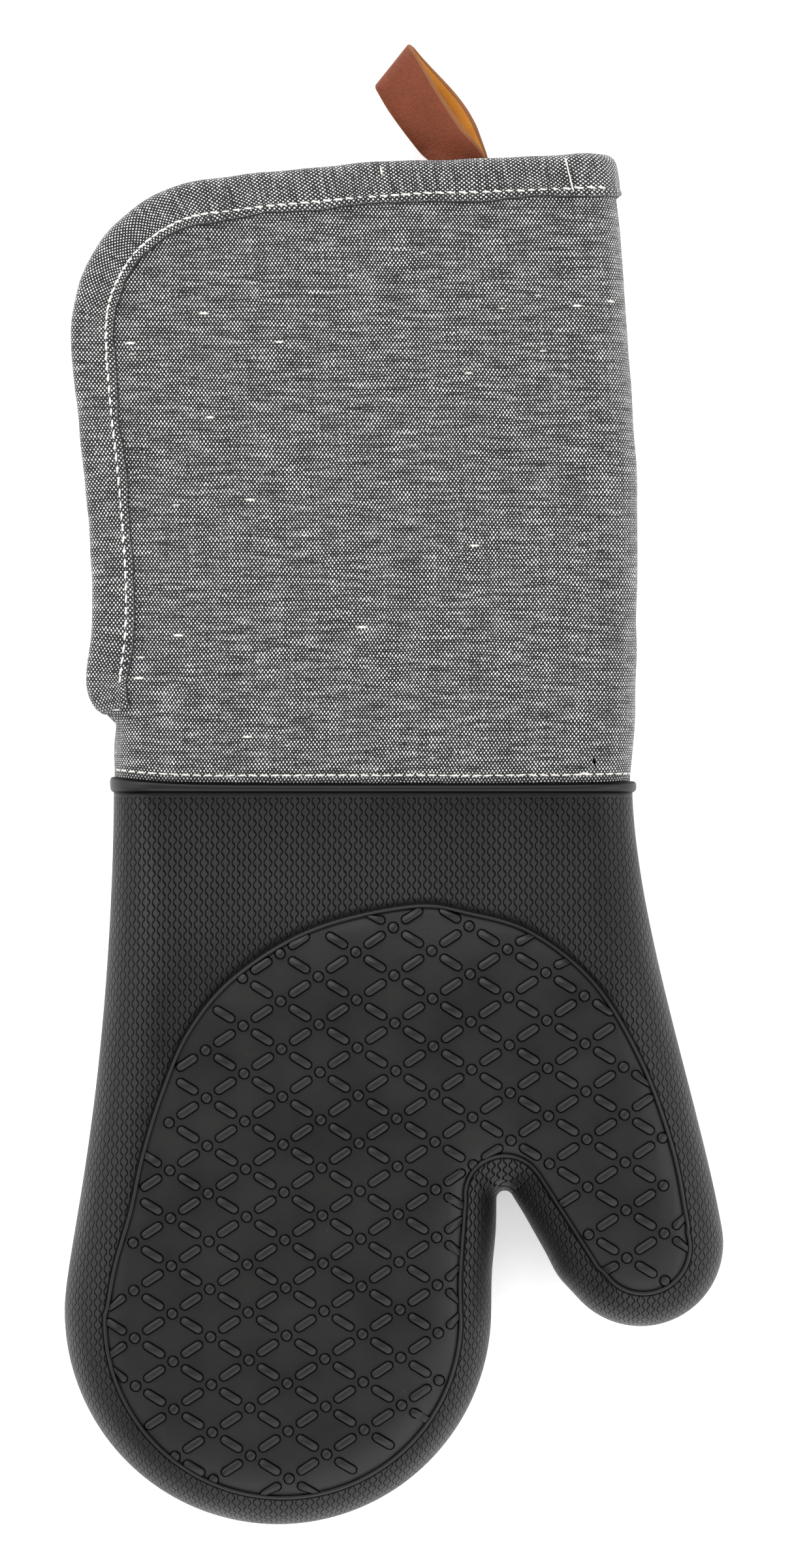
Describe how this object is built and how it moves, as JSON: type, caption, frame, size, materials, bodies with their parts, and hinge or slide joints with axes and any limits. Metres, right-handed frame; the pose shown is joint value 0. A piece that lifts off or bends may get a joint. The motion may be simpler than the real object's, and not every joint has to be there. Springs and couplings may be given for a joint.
{
  "type": "oven mitt",
  "caption": "Mitten-shaped silicone oven mitt with raised grip field, padded woven cuff with bound side vent, and a leather hanging loop.",
  "frame": {"origin": "middle of the mitt's length and width with its loop laid out, on the surface that its back lies on", "axes": "+X towards the thumb, +Y from the fingertips towards the cuff and loop, +Z out of the palm"},
  "size_m": [0.1761, 0.3968, 0.0354],
  "materials": {
    "silicone": "matte moulded silicone, fine fish-scale texture outside the grip field",
    "chambray": "plain weave, black warp and white weft, slubby",
    "binding": "folded strip of the cover's own weave",
    "lining": "brushed cotton",
    "wadding": "soft needled wadding",
    "thread": "twisted sewing thread",
    "leather": "smooth brown grain side, amber flesh side, pale cut edges"
  },
  "bodies": {
    "mitt": {"silicone_shell": "silicone", "palm_wadding": "wadding", "back_wadding": "wadding", "palm_lining": "lining", "back_lining": "lining", "cuff_cover": "chambray", "front_cuff_wadding": "wadding", "back_cuff_wadding": "wadding", "cuff_lining": "lining", "edge_binding": "binding", "hem_stitches": "thread", "front_binding_stitches": "thread", "back_binding_stitches": "thread", "vent_bar_tack": "thread", "binding_end_tack": "thread", "strap_ends": "leather", "strap_stitches": "thread"},
    "loop": {"hanging_loop": "leather"}
  },
  "joints": [
    {"name": "loop_hinge", "type": "hinge", "parent": "mitt", "child": "loop", "pos_m": [0.018, 0.1722, 0.015], "axis": [1, 0, 0], "range_deg": [-90, 90], "stiffness_Nm_per_rad": 0.02}
  ]
}
